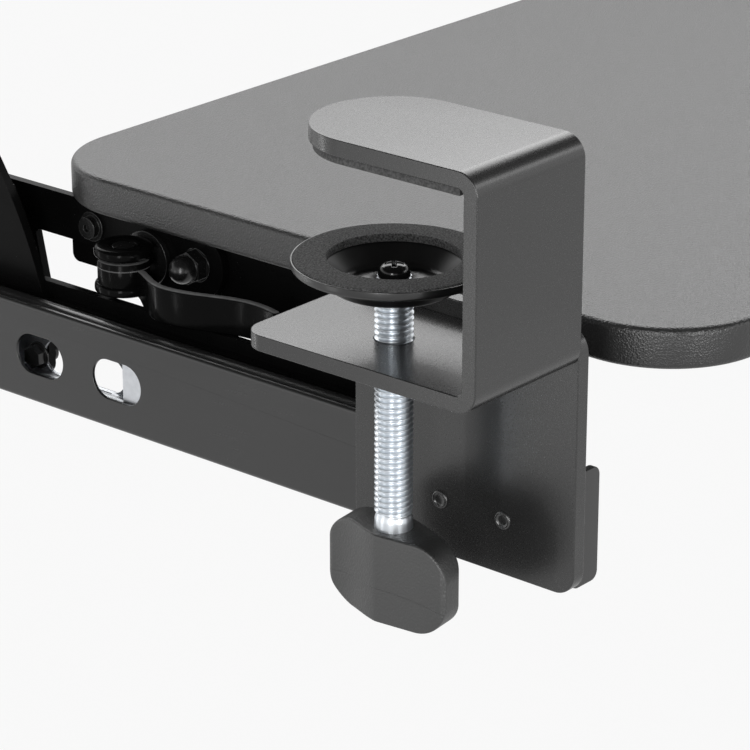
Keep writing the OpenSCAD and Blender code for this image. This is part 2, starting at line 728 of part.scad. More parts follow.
// The blade from the side: it deepens from the head and its tip is rounded
module blade_elevation() {
    head_low = cam_z - cam_h / 2;
    top = blade_z + blade_h;
    tip = cam_y - blade_l - blade_t;
    tip_r = 3;
    polygon([[cam_y + cam_r, top + 1], [cam_y + cam_r, head_low], [cam_y - 6, head_low],
        [cam_y - 11, head_low - 0.8], [cam_y - 15, blade_z + 0.9], [cam_y - 20, blade_z],
        [tip + tip_r, blade_z], [tip, blade_z + tip_r], [tip, top - tip_r], [tip + tip_r, top]]);
}

// The quick-release lever: a forked cam head and a waved blade
module cam_lever(side) {
    slot_h = cam_h - 2 * ear_t;
    slot_from = 295;
    slot_turn = 280;
    color([0.16, 0.16, 0.17]) on_side(side) difference() {
        union() {
            translate([barrel_u, cam_y, cam_z - cam_h / 2]) cylinder(h = cam_h, r = cam_r);
            intersection() {
                translate([0, 0, blade_z]) linear_extrude(blade_h) {
                    polygon(concat(blade_side(blade_t / 2),
                        [for (i = [blade_steps : -1 : 0]) blade_side(-blade_t / 2)[i]]));
                    translate(blade_point(1)) circle(blade_t / 2);
                }
                upright_plate(0, 2 * barrel_u) blade_elevation();
            }
        }
        translate([barrel_u, cam_y, cam_z - cam_h / 2 - 1]) cylinder(h = cam_h + 2, r = barrel_r + barrel_clear);
        translate([barrel_u, cam_y, cam_z - slot_h / 2]) rotate([0, 0, slot_from]) rotate_extrude(angle = slot_turn)
            square([cam_r + 1, slot_h]);
    }
}

// The pressed cup in section: rim, seat for the foam, cone, floor and screw hole
module cup_section() {
    rim_h = 3.2;
    seat = cup_top - ring_t;
    cone_top = ring_hole_r + 1;
    polygon([[cup_r, cup_top - 0.3], [cup_r, cup_top - rim_h], [cone_top + 2.2, cup_top - rim_h - 1],
        [cup_floor_r + 2.4, cup_floor - cup_t], [neck_r + 0.05, cup_floor - cup_t],
        [neck_r + 0.05, cup_floor], [cup_floor_r, cup_floor], [cone_top, seat],
        [cup_r - 1, seat], [cup_r - 1, cup_top - 0.3]]);
}

// The pressure cup that bears on the underside of the desk
module pressure_cup(side) {
    color([0.14, 0.14, 0.15]) on_screw(side) rotate_extrude() cup_section();
}

// The foam ring in the cup's rim
module cup_pad(side) {
    color([0.2, 0.2, 0.2]) on_screw(side) translate([0, 0, cup_top - ring_t]) difference() {
        cylinder(h = ring_t, r = cup_r - 1.1);
        translate([0, 0, -1]) cylinder(h = ring_t + 2, r = ring_hole_r);
    }
}

// The clamp screw with its collar, moulded into the knob
module clamp_screw(side) {
    color([0.75, 0.78, 0.8]) on_screw(side) difference() {
        union() {
            translate([0, 0, knob_top - 18]) cylinder(h = rod_top - knob_top + 18, r = screw_r);
            translate([0, 0, rod_top - 1]) cylinder(h = cup_floor + neck_rise - rod_top + 1, r = neck_r);
            translate([0, 0, knob_top - 1.5]) cylinder(h = collar_h, r1 = collar_r, r2 = screw_r - 0.3);
        }
        translate([0, 0, rod_top - 14]) cylinder(h = 20, r = cup_screw_r);
    }
}

// The pan-head screw that holds the cup on the end of the clamp screw
module cup_screw(side) {
    dome = cup_screw_head_h * 1.75;
    color([0.05, 0.05, 0.05]) on_screw(side) {
        translate([0, 0, rod_top - 13])
            cylinder(h = 13 + cup_floor - rod_top + neck_rise + washer_h, r = cup_screw_r - 0.02);
        translate([0, 0, cup_floor + neck_rise + washer_h]) difference() {
            intersection() {
                cylinder(h = cup_screw_head_h, r = cup_screw_head_r);
                translate([0, 0, cup_screw_head_h - dome]) sphere(dome);
            }
            for (a = [0, 90]) rotate([0, 0, a]) translate([-2.4, -0.5, cup_screw_head_h - 1.8])
                cube([4.8, 1, 3]);
        }
    }
}

// The toothed washer under the pan head
module lock_washer(side) {
    color([0.75, 0.75, 0.78]) on_screw(side) translate([0, 0, cup_floor + neck_rise]) difference() {
        union() {
            cylinder(h = washer_h, r = 4.6);
            for (a = [0 : 36 : 324]) rotate([0, 0, a]) translate([4, -0.7, 0]) cube([1.4, 1.4, washer_h]);
        }
        translate([0, 0, -1]) cylinder(h = 3, r = cup_screw_r);
    }
}

// The knob in plan: two lobes set off to either side of the screw, each face a flat and a curve
knob_end = knob_l / 2;
knob_bend = 2.5;
knob_end_r = 1;
knob_steps = 12;
knob_half_plan = concat(
    [[-knob_mid_t / 2, -knob_end + 1 + knob_end_r]],
    arc_points([knob_end_r - knob_mid_t / 2, -knob_end + 1 + knob_end_r], knob_end_r, 180, 262),
    arc_points([knob_lobe_t - knob_mid_t / 2 - 2, -knob_end + 2], 2, 278, 360),
    [for (i = [1 : knob_steps]) let (t = 1 - i / knob_steps)
        [knob_mid_t / 2 - (knob_mid_t - knob_lobe_t) * sin(90 * t), -knob_bend - (knob_end - 2 - knob_bend) * t]]);
module knob_plan() {
    polygon(concat(knob_half_plan, [for (p = knob_half_plan) -p]));
}

// The knob from the side: flat top and base, with deep round corners at both lobes
knob_corner_w = 8.5;
knob_corner_h = 9.5;
module knob_elevation() {
    corner = [for (a = [0 : 10 : 90]) [knob_corner_w * sin(a), knob_corner_h * cos(a)]];
    right = concat([for (c = corner) [knob_end - knob_corner_w + c[0], -knob_corner_h + c[1]]],
        [for (i = [9 : -1 : 0]) [knob_end - knob_corner_w + corner[i][0], knob_corner_h - knob_h - corner[i][1]]]);
    polygon(concat(right, [for (i = [19 : -1 : 0]) [-right[i][0], right[i][1]]]));
}

// The moulded knob that turns the clamp screw
module knob(side) {
    color([0.22, 0.22, 0.22]) on_screw(side) difference() {
        translate([0, 0, knob_top]) rotate([0, 0, knob_turn]) intersection() {
            translate([0, 0, -knob_h]) linear_extrude(knob_h) knob_plan();
            translate([-knob_mid_t, 0, 0]) rotate([90, 0, 90]) linear_extrude(2 * knob_mid_t) knob_elevation();
        }
        translate([0, 0, knob_top - 18.1]) cylinder(h = 20, r = screw_r);
        translate([0, 0, knob_top - 1.5]) cylinder(h = collar_h, r1 = collar_r, r2 = screw_r - 0.3);
    }
}

tray_board();
tray_screws();
clamp("left");  // left_clamp
clamp("right");  // right_clamp
side_plate("left");  // left_side_plate
side_plate("right");  // right_side_plate
jaw_pad("left");  // left_jaw_pad
jaw_pad("right");  // right_jaw_pad
pressure_cup("left");  // left_pressure_cup
pressure_cup("right");  // right_pressure_cup
cup_pad("left");  // left_cup_pad
cup_pad("right");  // right_cup_pad
clamp_screw("left");  // left_clamp_screw
clamp_screw("right");  // right_clamp_screw
knob("left");  // left_knob
knob("right");  // right_knob
cup_screw("left");  // left_cup_screw
cup_screw("right");  // right_cup_screw
lock_washer("left");  // left_lock_washer
lock_washer("right");  // right_lock_washer
outer_rail("left");  // left_outer_rail
outer_rail("right");  // right_outer_rail
inner_rail("left");  // left_inner_rail
inner_rail("right");  // right_inner_rail
ball_cage("left");  // left_ball_cage
ball_cage("right");  // right_ball_cage
balls("left");  // left_balls
balls("right");  // right_balls
rail_cap("left");  // left_rail_cap
rail_cap("right");  // right_rail_cap
rail_rivets("left");  // left_rail_rivets
rail_rivets("right");  // right_rail_rivets
runner_bracket("left");  // left_runner_bracket
runner_bracket("right");  // right_runner_bracket
arm_foot("left");  // left_arm_foot
arm_foot("right");  // right_arm_foot
arm("left");  // left_arm
arm("right");  // right_arm
arm_spacers("left");  // left_arm_spacers
arm_spacers("right");  // right_arm_spacers
arm_bolts("left");  // left_arm_bolts
arm_bolts("right");  // right_arm_bolts
tray_bracket("left");  // left_tray_bracket
tray_bracket("right");  // right_tray_bracket
pivot_bolt("left");  // left_pivot_bolt
pivot_bolt("right");  // right_pivot_bolt
cap_nut("left");  // left_cap_nut
cap_nut("right");  // right_cap_nut
cam_lever("left");  // left_cam_lever
cam_lever("right");  // right_cam_lever
cam_bolt("left");  // left_cam_bolt
cam_bolt("right");  // right_cam_bolt
cam_washer("left");  // left_cam_washer
cam_washer("right");  // right_cam_washer
stop_screw("left");  // left_stop_screw
stop_screw("right");  // right_stop_screw
runner_screws("left");  // left_runner_screws
runner_screws("right");  // right_runner_screws
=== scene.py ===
"""The looks of a clamp-on keyboard tray: a board on two ball-bearing slides, hung from two desk clamps.

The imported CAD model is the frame. +X is the user's right, +Y goes in under the desk, +Z is up. Shapes are
worked out in millimetres and put into the meshes in metres.
"""

import json
import math

import bmesh
import bpy
import numpy as np
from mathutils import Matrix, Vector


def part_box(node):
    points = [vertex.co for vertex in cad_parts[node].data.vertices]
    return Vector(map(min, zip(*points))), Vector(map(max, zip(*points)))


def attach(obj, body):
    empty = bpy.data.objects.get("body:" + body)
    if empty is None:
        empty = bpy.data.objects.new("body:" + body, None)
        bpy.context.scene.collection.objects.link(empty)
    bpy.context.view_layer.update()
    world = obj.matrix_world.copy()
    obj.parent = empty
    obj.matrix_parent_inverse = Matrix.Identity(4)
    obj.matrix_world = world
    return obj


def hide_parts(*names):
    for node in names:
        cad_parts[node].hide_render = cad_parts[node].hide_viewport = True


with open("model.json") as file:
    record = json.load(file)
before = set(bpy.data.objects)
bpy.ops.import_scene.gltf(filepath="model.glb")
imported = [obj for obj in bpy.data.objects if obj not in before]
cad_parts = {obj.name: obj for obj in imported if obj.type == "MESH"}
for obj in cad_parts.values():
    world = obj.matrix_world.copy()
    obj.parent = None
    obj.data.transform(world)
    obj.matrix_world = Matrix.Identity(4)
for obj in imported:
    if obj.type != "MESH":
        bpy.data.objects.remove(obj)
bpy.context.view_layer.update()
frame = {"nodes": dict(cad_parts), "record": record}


# The board: 13 mm MDF in a leather-grained black wrap that goes round its edges in a small radius. It is
# screwed to the two tray brackets from below. Where light grazes it, the grain shows as small glossy
# pebbles.

class Reading:
    """A value read at each point of a surface: one output socket. Arithmetic on it adds Math nodes."""

    def __init__(self, nodes, socket):
        self.nodes = nodes
        self.socket = socket

    def _math(self, operation, *terms):
        return self.nodes.node("ShaderNodeMath", {"operation": operation}, *terms)

    def __add__(self, other):
        return self._math("ADD", self, other)

    def __radd__(self, other):
        return self._math("ADD", other, self)

    def __sub__(self, other):
        return self._math("SUBTRACT", self, other)

    def __rsub__(self, other):
        return self._math("SUBTRACT", other, self)

    def __mul__(self, other):
        return self._math("MULTIPLY", self, other)

    def __rmul__(self, other):
        return self._math("MULTIPLY", other, self)

    def ramp(self, low, high):
        """0 at low, 1 at high, smooth between and flat outside."""
        smooth = {"interpolation_type": "SMOOTHSTEP"}
        return self.nodes.node("ShaderNodeMapRange", smooth, self, low, high, 0.0, 1.0)


class Nodes:
    """A tree of shader nodes, and the one method that adds to it."""

    def __init__(self, tree):
        self.tree = tree

    def node(self, kind, settings, *inputs, **named):
        """A node of that type: its settings first, then its inputs in order or by name. Gives its first live
        output, or the one that the setting output names."""
        made = self.tree.nodes.new(kind)
        settings = dict(settings)
        wanted = settings.pop("output", None)
        for word, value in settings.items():
            setattr(made, word, value)
        live = [s for s in made.inputs if s.enabled]
        pairs = list(zip(live, inputs)) + [(made.inputs[word], value) for word, value in named.items()]
        for socket, value in pairs:
            if isinstance(value, Reading):
                self.tree.links.new(value.socket, socket)
            else:
                socket.default_value = value
        outputs = [s for s in made.outputs if s.enabled]
        return Reading(self, made.outputs[wanted] if wanted else outputs[0])


class Finish(Nodes):
    """One procedural material: a Principled shader with fixed values, and the nodes that vary it."""

    def __init__(self, name, **fixed):
        self.material = bpy.data.materials.new(name)
        self.material.use_nodes = True
        super().__init__(self.material.node_tree)
        self.shader = self.tree.nodes["Principled BSDF"]
        for word, value in fixed.items():
            self.shader.inputs[word.replace("_", " ").title().replace("Ior", "IOR")].default_value = value
        self.place = self.node("ShaderNodeTexCoord", {"output": "Object"})

    def along(self, axis):
        """The object's own coordinate along X, Y or Z, in millimetres."""
        return self.node("ShaderNodeSeparateXYZ", {"output": axis}, self.place) * 1000.0

    def noise(self, size_mm, detail=2.0, stretch=(1, 1, 1)):
        """Cloudy noise from 0 to 1 with lumps of about size_mm, in the object's own coordinates. A stretch
        below 1 draws the lumps out along its axis, one above 1 packs them closer."""
        scaled = self.node("ShaderNodeMapping", {}, self.place, (0, 0, 0), (0, 0, 0), stretch)
        return self.node("ShaderNodeTexNoise", {}, Vector=scaled, Scale=1000.0 / size_mm, Detail=detail)

    def pebbles(self, size_mm):
        """Distance to the nearest of scattered points about size_mm apart, 0 at each point."""
        return self.node("ShaderNodeTexVoronoi", {}, Vector=self.place, Scale=1000.0 / size_mm)

    def mix(self, mask, first, second):
        """The first colour where mask is 0, the second where it is 1."""
        return self.node("ShaderNodeMix", {"data_type": "RGBA"}, mask, first, second)

    def vary(self, **links):
        """Link readings to sockets of the shader."""
        for word, value in links.items():
            self.tree.links.new(value.socket, self.shader.inputs[word.replace("_", " ").title()])

    def relief(self, height, depth_mm):
        """Raise the surface by height times depth_mm, by its shading."""
        self.vary(Normal=self.node("ShaderNodeBump", {}, Distance=depth_mm / 1000.0, Height=height))


def grey(level, tint=(1.0, 1.0, 1.0)):
    """A near-neutral colour of that linear level."""
    return (level * tint[0], level * tint[1], level * tint[2], 1.0)


board_wrap = Finish("board_wrap", Roughness=0.36, IOR=1.62)
pebble = board_wrap.pebbles(0.65)
grain = board_wrap.noise(0.5, 3.0)
broad = board_wrap.noise(60.0, 2.0)
board_wrap.vary(
    Base_Color=board_wrap.mix(broad, grey(0.020), grey(0.027)),
    Roughness=0.22 + 0.24 * grain)
board_wrap.relief(pebble * 0.7 + grain * 0.5, 0.17)


def skin(name, points, finish, round_u=False, round_v=True):
    """A mesh over a grid of points in millimetres: u runs along the piece and v round it, and each cell is a
    quad. Rows that shrink to a point are merged there, open ends closed and the faces turned outwards."""
    rows, columns = points.shape[:2]
    index = np.arange(rows * columns).reshape(rows, columns)
    if round_u:
        index = np.concatenate([index, index[:1]], 0)
    if round_v:
        index = np.concatenate([index, index[:, :1]], 1)
    quads = np.stack([index[:-1, :-1], index[1:, :-1], index[1:, 1:], index[:-1, 1:]], -1).reshape(-1, 4)
    mesh = bpy.data.meshes.new(name)
    mesh.from_pydata((points.reshape(-1, 3) / 1000.0).tolist(), [], quads.tolist())
    solid = bmesh.new()
    solid.from_mesh(mesh)
    bmesh.ops.remove_doubles(solid, verts=solid.verts, dist=2e-6)
    bmesh.ops.holes_fill(solid, edges=[e for e in solid.edges if e.is_boundary], sides=0)
    bmesh.ops.recalc_face_normals(solid, faces=solid.faces)
    solid.to_mesh(mesh)
    solid.free()
    mesh.polygons.foreach_set("use_smooth", np.ones(len(mesh.polygons), bool))
    mesh.materials.append(finish.material)
    piece = bpy.data.objects.new(name, mesh)
    bpy.context.scene.collection.objects.link(piece)
    return piece


bodies = frame["record"]["behaviour"]["bodies"]
body_of = {node: body for body, nodes in bodies.items() for node in nodes}


def stand_in(piece, node):
    """The piece is shown in the CAD node's place and moves with its body."""
    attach(piece, body_of[node])
    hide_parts(node)


def box_mm(node):
    """The low and the high corner of a CAD node at rest, in millimetres."""
    return 1000.0 * np.array([list(corner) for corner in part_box(node)])


def rounded_rectangle(x0, y0, x1, y1, r, steps):
    """Points and outward normals round a rectangle with round corners, anticlockwise from its right side:
    each corner is a quarter circle, so a point is the corner's centre plus r times its normal."""
    turn = np.radians(np.arange(4)[:, None] * 90 + np.linspace(0, 90, steps)[None, :])
    normal = np.stack([np.cos(turn), np.sin(turn)], -1)
    centre = np.array([[x1 - r, y1 - r], [x0 + r, y1 - r], [x0 + r, y0 + r], [x1 - r, y0 + r]])[:, None, :]
    return (centre + r * normal).reshape(-1, 2), normal.reshape(-1, 2)


def slab(name, outline, normals, low, high, ease, finish):
    """A flat plate between two heights whose rim is a quarter round above and below: each ring is the outline
    moved in along its normals by an inset, at a height, both from the quarter circle of radius ease. The
    first and the last ring lie a little further in on the flat faces, so that these shade flat."""
    turn = np.linspace(0, math.pi / 2, 6)
    on_flat = [ease + 0.6]
    step_in, step_up = ease * (1 - np.sin(turn)), ease * np.cos(turn)
    inset = np.concatenate([on_flat, step_in, step_in[::-1], on_flat])
    height = np.concatenate([[high], high - ease + step_up, low + ease - step_up[::-1], [low]])
    rings = outline[None] - inset[:, None, None] * normals[None]
    points = np.concatenate([rings, np.broadcast_to(height[:, None, None], rings.shape[:2] + (1,))], -1)
    return skin(name, points, finish)


BOARD_CORNER, BOARD_EDGE = 35, 2.0
(BOARD_LEFT, BOARD_FRONT, BOARD_UNDER), (BOARD_RIGHT, BOARD_BACK, BOARD_TOP) = box_mm("tray_board")

outline, normals = rounded_rectangle(BOARD_LEFT, BOARD_FRONT, BOARD_RIGHT, BOARD_BACK, BOARD_CORNER, 24)
board = slab("board", outline, normals, BOARD_UNDER, BOARD_TOP, BOARD_EDGE, board_wrap)
stand_in(board, "tray_board")


# The clamps and side plates: 5 mm steel strip bent to a C, and a flat plate welded under it, in a satin
# black powder coat. The cut edges are eased, and the coat shows a faint orange peel.

SIDES = (("left", -1), ("right", 1))
COATED_EDGE = 0.4


def eased(node, width, finish, fold=32, held=False):
    """A copy of a CAD solid with its sharp edges rounded: the triangles of each flat face are joined first,
    and a Bevel of that width in millimetres then runs along every edge that folds by more than the angle.
    Held keeps the round from crossing itself where a solid has very short edges."""
    mesh = frame["nodes"][node].data.copy()
    solid = bmesh.new()
    solid.from_mesh(mesh)
    bmesh.ops.remove_doubles(solid, verts=solid.verts, dist=1e-6)
    bmesh.ops.dissolve_limit(solid, angle_limit=math.radians(0.5), verts=solid.verts, edges=solid.edges)
    for face in solid.faces:
        face.smooth = True
    for edge in solid.edges:
        edge.smooth = edge.calc_face_angle(0.0) < math.radians(fold)
    solid.to_mesh(mesh)
    solid.free()
    mesh.materials.clear()
    mesh.materials.append(finish.material)
    piece = bpy.data.objects.new(node + "_eased", mesh)
    bpy.context.scene.collection.objects.link(piece)
    ease = piece.modifiers.new("eased_edges", "BEVEL")
    ease.width = width / 1000.0
    ease.segments = 3
    ease.limit_method = "ANGLE"
    ease.angle_limit = math.radians(fold)
    ease.use_clamp_overlap = held
    ease.harden_normals = True
    stand_in(piece, node)


powder_steel = Finish("powder_steel", Roughness=0.28, IOR=1.7)
peel = powder_steel.noise(1.1, 2.0)
speck = powder_steel.noise(0.5, 2.0)
haze = powder_steel.noise(45.0, 2.0)
powder_steel.vary(
    Base_Color=powder_steel.mix(haze * 0.5 + speck * 0.5, grey(0.013), grey(0.023)),
    Roughness=0.19 + 0.1 * speck + 0.06 * haze)
powder_steel.relief(peel + speck * 0.3, 0.014)

for side, _ in SIDES:
    eased(f"{side}_clamp", COATED_EDGE, powder_steel)
    eased(f"{side}_side_plate", COATED_EDGE, powder_steel)


# The rail rivets: two a side, set through the side plate into the rail, each a raised ring round a flat
# middle. They are coated together with the plate, so they share its finish.

PLATE_X = box_mm("right_side_plate")[1, 0]
RIVET_Z = -117.9
RIVET_Y = (("front", 22.4), ("rear", 46.5))


def turned(name, profile, centre, finish, axis="Z", turns=128):
    """A turned surface: each (radius, place along the axis) of the profile goes once round the axis that
    runs through centre."""
    profile = np.asarray(profile, float)
    a = np.linspace(0, 2 * math.pi, turns, endpoint=False)
    across, up = profile[:, :1] * np.cos(a), profile[:, :1] * np.sin(a)
    along = np.broadcast_to(profile[:, 1:], across.shape)
    points = np.stack([across, up, along] if axis == "Z" else [along, across, up], -1)
    return skin(name, points + np.asarray(centre, float), finish)


rivet_profile = np.array([
    (0.0, 0.15), (1.5, 0.15), (1.8, 0.3), (2.05, 0.62), (2.3, 0.7), (2.6, 0.62), (2.85, 0.3),
    (2.95, -0.05), (2.4, -0.3), (2.4, -6.0), (0.0, -6.0)])
for side, sign in SIDES:
    for place, y in RIVET_Y:
        rivet = turned(f"{side}_{place}_rivet", rivet_profile * (1, sign), (sign * PLATE_X, y, RIVET_Z),
                       powder_steel, "X", 48)
        stand_in(rivet, f"{side}_rail_rivets")


# The jaw pads: thin rubber, die-cut from dark sheet and glued under the upper jaws to spare the desk's top.
# Their edges are nearly square, and their face is matt with a fine grain.

pad_rubber = Finish("pad_rubber", Roughness=0.8)
fine = pad_rubber.noise(0.7, 3.0)
pad_rubber.vary(Base_Color=pad_rubber.mix(fine.ramp(0.3, 0.7), grey(0.045), grey(0.12)))
pad_rubber.relief(fine, 0.12)

for side, _ in SIDES:
    eased(f"{side}_jaw_pad", 0.25, pad_rubber)


# The clamp screws: bright zinc-plated M12 rod with a rolled thread, and a flared collar where the knob grips
# it. The thread turns right-handed on both sides, so the right rod isn't the left one's mirror image.

SCREW_X, SCREW_Y, _ = box_mm("right_clamp_screw").mean(0)
ROD_TOP, THREAD_END, ROD_END = -42.2, -113.2, -120.4
PITCH, THREAD_DEPTH, ROOT_R = 1.75, 0.95, 3.0
THREAD_ROW, COLLAR_ROW = 0.08, 0.3

zinc_screw = Finish("zinc_screw", Metallic=1.0, Roughness=0.2)
cloud = zinc_screw.noise(3.0, 3.0)
scratch = zinc_screw.noise(0.5, 3.0, (1, 1, 8))
zinc_screw.vary(
    Base_Color=zinc_screw.mix(cloud, (0.66, 0.71, 0.76, 1), (0.83, 0.86, 0.89, 1)),
    Roughness=0.27 + 0.08 * scratch)

thread_rows = np.arange(ROD_TOP, THREAD_END, -THREAD_ROW)
collar_rows = np.arange(THREAD_END, ROD_END, -COLLAR_ROW)
height = np.concatenate([thread_rows, collar_rows])[:, None]
angle = np.linspace(0, 2 * math.pi, 72, endpoint=False)[None, :]


def thread_depth(z, a):
    """How far the thread cuts in, from its crest (0) to its root (1): a rounded V, one pitch up a turn."""
    wave = np.abs(((z / PITCH - a / (2 * math.pi)) % 1.0) * 2 - 1)
    return np.clip((wave - 0.14) / 0.72, 0, 1) ** 0.9


# Depth below the upper jaw's face, and radius: neck, chamfer, the thread's crest, a relief and the collar.
rod_outline = np.array([
    (42.2, 3.6), (42.21, 3.6), (43.0, 4.9), (44.0, 5.8), (112.8, 5.8), (113.3, 5.3), (113.7, 5.3),
    (114.2, 5.55), (115.0, 5.72), (116.0, 5.78), (119.5, 5.92), (120.4, 5.92)])
envelope = np.interp(-height, *rod_outline.T)
cut = np.interp(-height, [43.0, 44.2, 112.6, 113.4], [0, 1.0, 1.0, 0])
radius = np.maximum(envelope - THREAD_DEPTH * cut * thread_depth(height, angle), ROOT_R)
for side, sign in SIDES:
    x, y = sign * SCREW_X + radius * np.cos(angle), SCREW_Y + radius * np.sin(angle)
    rod = skin(f"{side}_threaded_rod", np.stack([x, y, height + 0 * radius], -1), zinc_screw)
    stand_in(rod, f"{side}_clamp_screw")


# The pressure cups: bowls pressed from 1.5 mm sheet, with a rolled rim that holds a foam ring. They turn on
# the rod's neck. They are gloss black, so the rim's roll and the cone catch the light.

def rounded_path(corners, steps=7):
    """The corner points (radius, height, fillet) joined by lines, each corner replaced by an arc that leaves
    and joins the lines at the fillet's length: a quadratic curve that the corner pulls on."""
    corners, fillets = np.asarray(corners, float)[:, :2], np.asarray(corners, float)[:, 2]
    path = [corners[0]]
    t = np.linspace(0, 1, steps)[:, None]
    for before, here, after, fillet in zip(corners[:-2], corners[1:-1], corners[2:], fillets[1:-1]):
        start = here + (before - here) * min(0.49, fillet / max(1e-6, math.dist(before, here)))
        end = here + (after - here) * min(0.49, fillet / max(1e-6, math.dist(after, here)))
        path.extend((1 - t) ** 2 * start + 2 * t * (1 - t) * here + t ** 2 * end)
    path.append(corners[-1])
    return np.array(path)


cup_black = Finish("cup_black", Roughness=0.28, IOR=1.66)
swirl = cup_black.noise(6.0, 2.0)
cup_black.vary(
    Base_Color=cup_black.mix(swirl, grey(0.004), grey(0.008)),
    Roughness=0.26 + 0.08 * swirl)

cup_profile = rounded_path([
    (3.7, -41.4, 0), (15.0, -41.4, 1.6), (20.4, -35.5, 0.8), (29.4, -35.5, 0.2), (29.4, -33.45, 0.2),
    (29.95, -33.45, 0.26), (30.0, -36.1, 1.5), (23.0, -37.5, 3.2), (17.6, -42.9, 2.2), (3.7, -42.9, 0),
    (3.7, -41.4, 0)])
for side, sign in SIDES:
    cup = turned(f"{side}_cup", cup_profile, (sign * SCREW_X, SCREW_Y, 0), cup_black)
    stand_in(cup, f"{side}_pressure_cup")


# The foam rings: 2.4 mm foam, die-cut and pressed into the cups' rims to spare the desk's underside.
# The fine open cell shows as dark and light specks.

ring_foam = Finish("ring_foam", Roughness=0.95)
cell = ring_foam.pebbles(0.5)
clump = ring_foam.noise(0.6, 3.0)
open_cell = cell.ramp(0.1, 0.8) * 0.5 + clump.ramp(0.4, 0.6) * 0.5
ring_foam.vary(Base_Color=ring_foam.mix(open_cell, grey(0.006), grey(0.1)))
ring_foam.relief(cell + clump * 0.5, 0.25)

ring_profile = rounded_path([
    (19.5, -34.2, 0), (19.5, -33.0, 0.5), (29.35, -33.0, 0.7), (29.35, -35.4, 0.1), (19.5, -35.4, 0.1),
    (19.5, -34.2, 0)])
for side, sign in SIDES:
    ring = turned(f"{side}_foam_ring", ring_profile, (sign * SCREW_X, SCREW_Y, 0), ring_foam)
    stand_in(ring, f"{side}_cup_pad")


# The cup screws and lock washers: a black pan head with a cross recess over a toothed zinc washer.
# The head sits in the bowl and keeps the cup on the rod's neck.

HEAD_R, HEAD_HEIGHT, HEAD_SEAT = 4.75, 3.9, -38.9
CROSS_TURN, CROSS_HALF, CROSS_REACH, CROSS_DEPTH = math.radians(40), 0.72, 2.8, 2.0

black_screw = Finish("black_screw", Roughness=0.14, IOR=1.5)
dust = black_screw.noise(0.8, 2.0)
black_screw.vary(Base_Color=black_screw.mix(dust, grey(0.006), grey(0.012)), Roughness=0.08 + 0.12 * dust)

# The head is a dome over its polar angle t, and the cross is cut where a point lies near the middle line of
# either arm.
t = np.linspace(0, 1, 56)[:, None] * math.pi / 2
a = np.linspace(0, 2 * math.pi, 144, endpoint=False)[None, :]
reach = HEAD_R * np.sin(t) ** 0.8
dome = HEAD_HEIGHT * np.cos(t) ** 0.7
arm_1, arm_2 = np.abs(reach * np.cos(a - CROSS_TURN)), np.abs(reach * np.sin(a - CROSS_TURN))
across, along = np.minimum(arm_1, arm_2), np.maximum(arm_1, arm_2)
in_cross = np.clip((CROSS_HALF - across) / 0.18, 0, 1) * np.clip((CROSS_REACH - along) / 0.3, 0, 1)
head_z = HEAD_SEAT + dome - in_cross * CROSS_DEPTH * (1 - 0.35 * along / CROSS_REACH)

WASHER_R, WASHER_Z, TEETH = 3.9, -39.28, 10

zinc_sheet = Finish("zinc_sheet", Metallic=1.0, Roughness=0.34)
spangle = zinc_sheet.noise(2.0, 3.0)
zinc_sheet.vary(
    Base_Color=zinc_sheet.mix(spangle, (0.56, 0.58, 0.61, 1), (0.76, 0.78, 0.81, 1)),
    Roughness=0.26 + 0.18 * spangle)

# The washer is a flattened tube round its own ring u, drawn out and twisted on its outer side at each tooth.
v = np.linspace(0, 2 * math.pi, 12, endpoint=False)[None, :]
u = np.linspace(0, 2 * math.pi, 160, endpoint=False)[:, None]
tooth = np.clip(2.2 * np.cos(TEETH * u) + 0.2, 0, 1)
outer = np.maximum(np.cos(v), 0)
washer_r = WASHER_R + np.cos(v) + 0.45 * outer * tooth
washer_z = WASHER_Z + 0.3 * np.sin(v) + 0.12 * np.sin(TEETH * u) * outer

for side, sign in SIDES:
    x, y = sign * SCREW_X + reach * np.cos(a), SCREW_Y + reach * np.sin(a)
    head = skin(f"{side}_pan_head", np.stack([x, y, head_z], -1), black_screw)
    stand_in(head, f"{side}_cup_screw")
    x, y = sign * SCREW_X + washer_r * np.cos(u), SCREW_Y + washer_r * np.sin(u)
    washer = skin(f"{side}_toothed_washer", np.stack([x, y, washer_z], -1), zinc_sheet, round_u=True)
    stand_in(washer, f"{side}_lock_washer")


# The knobs: moulded S-shaped grips in fine-textured plastic, pressed onto the rods' collars. Each half has
# one flat face and one that sweeps in to the lobe. A faint parting line runs round the sides.

KNOB_HALF, KNOB_MID, KNOB_LOBE, KNOB_BEND = 23.5, 17.0, 9.6, 2.5
KNOB_FOOT, KNOB_TOP = box_mm("right_knob")[:, 2]
KNOB_CORNER_W, KNOB_CORNER_H, KNOB_EDGE = 11.0, 11.0, 0.9
KNOB_TURN = math.radians(6.5)
FLAT_TIP, SWEPT_TIP, TIP_STEP = 2.2, 2.6, 1.3
PARTING_Z, PARTING_BOW = -135.2, 0.0045

knob_plastic = Finish("knob_plastic", Roughness=0.46, IOR=1.88)
spark = knob_plastic.noise(0.7, 3.0)
bloom = knob_plastic.noise(9.0, 2.0)
knob_plastic.vary(
    Base_Color=knob_plastic.mix(bloom, grey(0.007, (0.96, 1.0, 0.97)), grey(0.015, (0.96, 1.0, 0.97))),
    Roughness=0.36 + 0.2 * spark)
beside_rod = knob_plastic.along("Y") - SCREW_Y
above_line = knob_plastic.along("Z") - PARTING_Z + beside_rod * beside_rod * PARTING_BOW
off_line = knob_plastic.node("ShaderNodeMath", {"operation": "ABSOLUTE"}, above_line)
parting = 1 - off_line.ramp(0.05, 0.2)
knob_plastic.relief(spark * 1.2 + parting * 0.6, 0.14)


